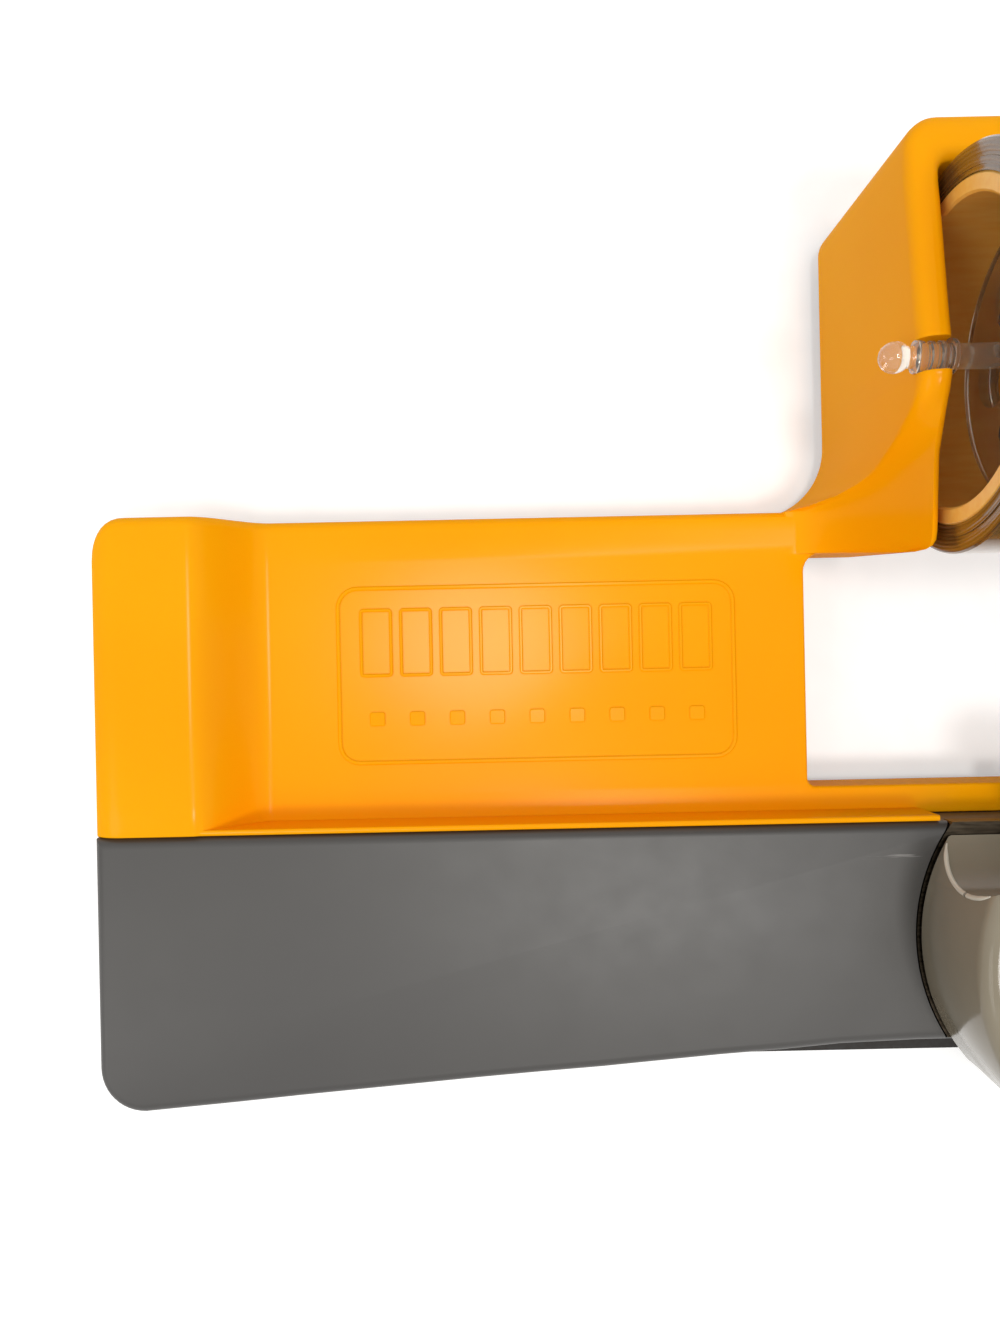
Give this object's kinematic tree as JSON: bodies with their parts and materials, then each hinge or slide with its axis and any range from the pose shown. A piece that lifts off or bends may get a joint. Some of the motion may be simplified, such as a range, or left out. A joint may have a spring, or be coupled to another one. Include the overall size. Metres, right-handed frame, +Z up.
{
  "type": "film splicer",
  "caption": "Table-top tape splicer for narrow cine film: beam with a round press head on a rear hinge, roll well with a lift-out axle, and a hinged trimming knife.",
  "frame": {"origin": "middle of the footprint, on the surface that the rubber feet stand on", "axes": "+X runs along the film and the beam, +Y points to the back where the tape roll is, +Z is up"},
  "size_m": [0.211, 0.0984, 0.047],
  "materials": {
    "orange_plastic": "gloss",
    "grey_plastic": "satin",
    "black_plastic": "matt",
    "smoked_plastic": "gloss",
    "clear_plastic": "gloss",
    "steel": "satin",
    "bed_steel": "ground",
    "blade_steel": "polished edge",
    "spring_steel": "drawn wire",
    "rubber": "matt",
    "pad_rubber": "matt",
    "core_card": "matt",
    "brown_tape": "gloss"
  },
  "bodies": {
    "base": {"base_beam": "grey_plastic", "deck": "orange_plastic", "bottom_cover": "black_plastic", "cover_screws": "steel", "rubber_feet": "rubber", "film_bed": "bed_steel", "bed_screws": "steel", "register_pins": "steel", "hinge_pin": "steel", "trim_anvil": "bed_steel", "anvil_screws": "steel", "trim_pin": "steel"},
    "head": {"head_body": "smoked_plastic", "film_pad": "pad_rubber", "spring_seat": "steel"},
    "press": {"press_knob": "orange_plastic", "ram": "steel", "ram_plate": "steel", "tape_knives": "blade_steel", "punch_pins": "steel", "knob_screw": "steel", "return_spring": "spring_steel"},
    "axle": {"axle": "clear_plastic"},
    "roll": {"tape_core": "core_card", "tape_roll": "brown_tape"},
    "trimmer": {"trim_arm": "grey_plastic", "trim_blade": "blade_steel", "blade_screws": "steel", "finger_knob": "orange_plastic"}
  },
  "joints": [
    {"name": "head_lift", "type": "hinge", "parent": "base", "child": "head", "pos_m": [0, -0.01545, 0.021], "axis": [-1, 0, 0], "range_deg": [0, 75]},
    {"name": "knob_press", "type": "slide", "parent": "head", "child": "press", "axis": [0, 0, -1], "range_m": [0, 0.0024], "stiffness_N_per_m": 400, "springref_m": -0.003, "deforming": ["return_spring"]},
    {"name": "trim_lift", "type": "hinge", "parent": "base", "child": "trimmer", "pos_m": [0.032, -0.01545, 0.02], "axis": [-1, 0, 0], "range_deg": [0, 70]},
    {"name": "axle_lift", "type": "slide", "parent": "base", "child": "axle", "axis": [0, 0, 1], "range_m": [0, 0.02]},
    {"name": "roll_spin", "type": "hinge", "parent": "axle", "child": "roll", "pos_m": [0, 0.02665, 0.0294], "axis": [1, 0, 0], "continuous": true}
  ]
}
